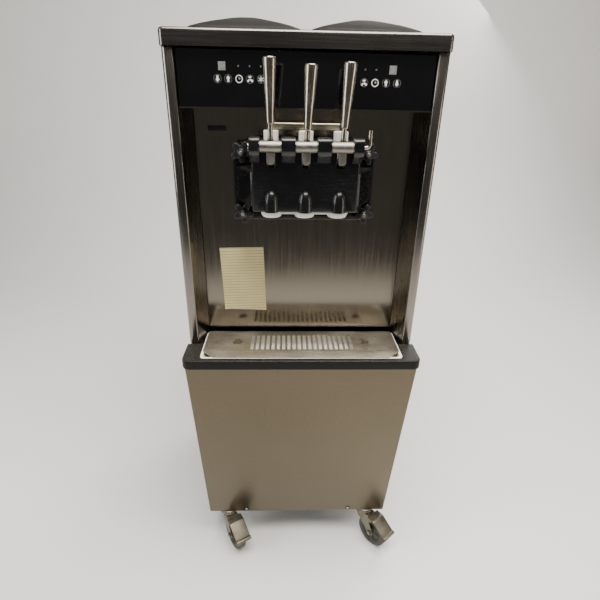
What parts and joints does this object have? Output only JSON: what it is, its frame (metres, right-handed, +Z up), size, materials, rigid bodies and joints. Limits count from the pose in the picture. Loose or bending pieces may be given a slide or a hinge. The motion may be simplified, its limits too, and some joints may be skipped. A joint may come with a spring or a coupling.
{
  "type": "soft-serve ice cream machine",
  "caption": "Floor-standing soft-serve ice cream machine on braked casters, with twin lidded hoppers, a clamped dispensing head with draw levers, and a drip tray.",
  "frame": {"origin": "on the floor, at the centre of the footprint", "axes": "+Z up; -Y is the front, where the levers and the drip tray are; +X is to the right seen from the front"},
  "size_m": [0.6013, 0.75, 1.4441],
  "materials": {
    "stainless": "satin, grained",
    "polished_steel": "polished",
    "zinc_steel": "dull zinc plate",
    "frame_steel": "galvanised, dull",
    "black_acetal": "smooth machined acetal",
    "black_moulding": "fine grained",
    "white_plastic": "semi-gloss",
    "black_glass": "gloss control face",
    "circuit_board": "lacquered",
    "tyre_rubber": "worn rubber",
    "drive_rubber": "matt",
    "cast_iron": "painted casting",
    "fin_aluminium": "mill finish",
    "motor_enamel": "semi-gloss enamel"
  },
  "bodies": {
    "cabinet": {"main_frame": "frame_steel", "left_side_panel": "stainless", "right_side_panel": "stainless", "rear_panel": "stainless", "lower_front_panel": "stainless", "left_pillar": "stainless", "right_pillar": "stainless", "splash_panel": "stainless", "top_trim": "stainless", "top_deck": "stainless", "control_housing": "stainless", "control_glass": "black_glass", "control_board": "circuit_board", "tray_surround": "black_moulding", "left_hopper": "stainless", "right_hopper": "stainless", "freezing_barrels": "stainless", "left_gearbox": "cast_iron", "right_gearbox": "cast_iron", "drive_motor": "motor_enamel", "drive_belt": "drive_rubber", "compressor": "motor_enamel", "condenser": "fin_aluminium", "cable_gland": "black_moulding", "stop_bar": "stainless"},
    "head": {"dispensing_head": "black_acetal", "nozzle_plate": "white_plastic"},
    "left_lever": {"left_lever": "polished_steel"},
    "left_draw_valve": {"left_draw_valve": "white_plastic"},
    "centre_lever": {"centre_lever": "polished_steel"},
    "centre_draw_valve": {"centre_draw_valve": "white_plastic"},
    "right_lever": {"right_lever": "polished_steel"},
    "right_draw_valve": {"right_draw_valve": "white_plastic"},
    "pivot_pin": {"pivot_pin": "polished_steel"},
    "upper_left_knob": {"upper_left_knob": "black_acetal"},
    "upper_right_knob": {"upper_right_knob": "black_acetal"},
    "lower_left_knob": {"lower_left_knob": "black_acetal"},
    "lower_right_knob": {"lower_right_knob": "black_acetal"},
    "left_hopper_lid": {"left_hopper_lid": "black_moulding"},
    "left_air_tube": {"left_air_tube": "polished_steel"},
    "right_hopper_lid": {"right_hopper_lid": "black_moulding"},
    "right_air_tube": {"right_air_tube": "polished_steel"},
    "drip_tray": {"drip_tray": "white_plastic"},
    "drip_tray_cover": {"drip_tray_cover": "stainless"},
    "left_beater": {"left_beater": "polished_steel"},
    "right_beater": {"right_beater": "polished_steel"},
    "left_gearbox_pulley": {"left_gearbox_pulley": "cast_iron"},
    "right_gearbox_pulley": {"right_gearbox_pulley": "cast_iron"},
    "motor_pulley": {"motor_pulley": "cast_iron"},
    "condenser_fan": {"condenser_fan": "fin_aluminium"},
    "front_left_caster_fork": {"front_left_caster_fork": "zinc_steel"},
    "front_left_wheel": {"front_left_wheel": "tyre_rubber"},
    "front_left_brake_pedal": {"front_left_brake_pedal": "zinc_steel"},
    "front_right_caster_fork": {"front_right_caster_fork": "zinc_steel"},
    "front_right_wheel": {"front_right_wheel": "tyre_rubber"},
    "front_right_brake_pedal": {"front_right_brake_pedal": "zinc_steel"},
    "rear_left_caster_fork": {"rear_left_caster_fork": "zinc_steel"},
    "rear_left_wheel": {"rear_left_wheel": "tyre_rubber"},
    "rear_right_caster_fork": {"rear_right_caster_fork": "zinc_steel"},
    "rear_right_wheel": {"rear_right_wheel": "tyre_rubber"}
  },
  "joints": [
    {"name": "head_pull_off", "type": "slide", "parent": "cabinet", "child": "head", "axis": [0, -1, 0], "range_m": [0, 0.1]},
    {"name": "left_lever_pull", "type": "hinge", "parent": "head", "child": "left_lever", "pos_m": [-0.068, -0.354, 1.2074], "axis": [1, 0, 0], "range_deg": [0, 40]},
    {"name": "left_valve_lift", "type": "slide", "parent": "head", "child": "left_draw_valve", "axis": [0, 0, 1], "range_m": [0, 0.028]},
    {"name": "centre_lever_pull", "type": "hinge", "parent": "head", "child": "centre_lever", "pos_m": [0, -0.354, 1.2074], "axis": [1, 0, 0], "range_deg": [0, 40]},
    {"name": "centre_valve_lift", "type": "slide", "parent": "head", "child": "centre_draw_valve", "axis": [0, 0, 1], "range_m": [0, 0.028]},
    {"name": "right_lever_pull", "type": "hinge", "parent": "head", "child": "right_lever", "pos_m": [0.068, -0.354, 1.2074], "axis": [1, 0, 0], "range_deg": [0, 40]},
    {"name": "right_valve_lift", "type": "slide", "parent": "head", "child": "right_draw_valve", "axis": [0, 0, 1], "range_m": [0, 0.028]},
    {"name": "pivot_pin_withdraw", "type": "slide", "parent": "head", "child": "pivot_pin", "axis": [1, 0, 0], "range_m": [0, 0.235]},
    {"name": "upper_left_knob_turn", "type": "hinge", "parent": "head", "child": "upper_left_knob", "pos_m": [-0.131, -0.27, 1.188], "axis": [0, -1, 0], "continuous": true},
    {"name": "upper_right_knob_turn", "type": "hinge", "parent": "head", "child": "upper_right_knob", "pos_m": [0.131, -0.27, 1.188], "axis": [0, -1, 0], "continuous": true},
    {"name": "lower_left_knob_turn", "type": "hinge", "parent": "head", "child": "lower_left_knob", "pos_m": [-0.131, -0.27, 1.062], "axis": [0, -1, 0], "continuous": true},
    {"name": "lower_right_knob_turn", "type": "hinge", "parent": "head", "child": "lower_right_knob", "pos_m": [0.131, -0.27, 1.062], "axis": [0, -1, 0], "continuous": true},
    {"name": "left_lid_lift", "type": "slide", "parent": "cabinet", "child": "left_hopper_lid", "axis": [0, 0, 1], "range_m": [0, 0.15]},
    {"name": "left_air_tube_lift", "type": "slide", "parent": "cabinet", "child": "left_air_tube", "axis": [0, 0, 1], "range_m": [0, 0.05]},
    {"name": "right_lid_lift", "type": "slide", "parent": "cabinet", "child": "right_hopper_lid", "axis": [0, 0, 1], "range_m": [0, 0.15]},
    {"name": "right_air_tube_lift", "type": "slide", "parent": "cabinet", "child": "right_air_tube", "axis": [0, 0, 1], "range_m": [0, 0.05]},
    {"name": "tray_lift", "type": "slide", "parent": "cabinet", "child": "drip_tray", "axis": [0, 0, 1], "range_m": [0, 0.12]},
    {"name": "tray_cover_lift", "type": "slide", "parent": "drip_tray", "child": "drip_tray_cover", "axis": [0, 0, 1], "range_m": [0, 0.1]},
    {"name": "left_beater_spin", "type": "hinge", "parent": "cabinet", "child": "left_beater", "pos_m": [-0.068, 0, 1.126], "axis": [0, 1, 0], "continuous": true},
    {"name": "right_beater_spin", "type": "hinge", "parent": "cabinet", "child": "right_beater", "pos_m": [0.068, 0, 1.126], "axis": [0, 1, 0], "continuous": true},
    {"name": "left_gearbox_pulley_spin", "type": "hinge", "parent": "cabinet", "child": "left_gearbox_pulley", "pos_m": [-0.068, 0.181, 1.126], "axis": [0, 1, 0], "continuous": true},
    {"name": "right_gearbox_pulley_spin", "type": "hinge", "parent": "cabinet", "child": "right_gearbox_pulley", "pos_m": [0.068, 0.181, 1.126], "axis": [0, 1, 0], "continuous": true},
    {"name": "motor_pulley_spin", "type": "hinge", "parent": "cabinet", "child": "motor_pulley", "pos_m": [0, 0.181, 0.79], "axis": [0, 1, 0], "continuous": true},
    {"name": "fan_spin", "type": "hinge", "parent": "cabinet", "child": "condenser_fan", "pos_m": [0.185, 0.075, 0.33], "axis": [1, 0, 0], "continuous": true},
    {"name": "front_left_swivel", "type": "hinge", "parent": "cabinet", "child": "front_left_caster_fork", "pos_m": [-0.215, -0.232, 0.11], "axis": [0, 0, 1], "continuous": true},
    {"name": "front_left_roll", "type": "hinge", "parent": "front_left_caster_fork", "child": "front_left_wheel", "pos_m": [-0.19274, -0.26762, 0.05], "axis": [0.848, 0.5299, 0], "continuous": true},
    {"name": "front_left_brake_release", "type": "hinge", "parent": "front_left_caster_fork", "child": "front_left_brake_pedal", "pos_m": [-0.1938, -0.26592, 0.1115], "axis": [-0.848, -0.5299, 0], "range_deg": [0, 14]},
    {"name": "front_right_swivel", "type": "hinge", "parent": "cabinet", "child": "front_right_caster_fork", "pos_m": [0.215, -0.232, 0.11], "axis": [0, 0, 1], "continuous": true},
    {"name": "front_right_roll", "type": "hinge", "parent": "front_right_caster_fork", "child": "front_right_wheel", "pos_m": [0.242, -0.26417, 0.05], "axis": [0.766, 0.6428, 0], "continuous": true},
    {"name": "front_right_brake_release", "type": "hinge", "parent": "front_right_caster_fork", "child": "front_right_brake_pedal", "pos_m": [0.24071, -0.26264, 0.1115], "axis": [-0.766, -0.6428, 0], "range_deg": [0, 14]},
    {"name": "rear_left_swivel", "type": "hinge", "parent": "cabinet", "child": "rear_left_caster_fork", "pos_m": [-0.215, 0.285, 0.11], "axis": [0, 0, 1], "continuous": true},
    {"name": "rear_left_roll", "type": "hinge", "parent": "rear_left_caster_fork", "child": "rear_left_wheel", "pos_m": [-0.25184, 0.30517, 0.05], "axis": [-0.4802, -0.8771, 0], "continuous": true},
    {"name": "rear_right_swivel", "type": "hinge", "parent": "cabinet", "child": "rear_right_caster_fork", "pos_m": [0.215, 0.285, 0.11], "axis": [0, 0, 1], "continuous": true},
    {"name": "rear_right_roll", "type": "hinge", "parent": "rear_right_caster_fork", "child": "rear_right_wheel", "pos_m": [0.22936, 0.32447, 0.05], "axis": [-0.9397, 0.342, 0], "continuous": true}
  ],
  "couplings": [
    {"joint": "left_valve_lift", "follows": "left_lever_pull", "m_per_rad": 0.0395},
    {"joint": "centre_valve_lift", "follows": "centre_lever_pull", "m_per_rad": 0.0395},
    {"joint": "right_valve_lift", "follows": "right_lever_pull", "m_per_rad": 0.0395},
    {"joint": "right_beater_spin", "follows": "left_beater_spin", "ratio": 1},
    {"joint": "left_gearbox_pulley_spin", "follows": "left_beater_spin", "ratio": 4},
    {"joint": "right_gearbox_pulley_spin", "follows": "left_beater_spin", "ratio": 4},
    {"joint": "motor_pulley_spin", "follows": "left_beater_spin", "ratio": 7.2}
  ]
}
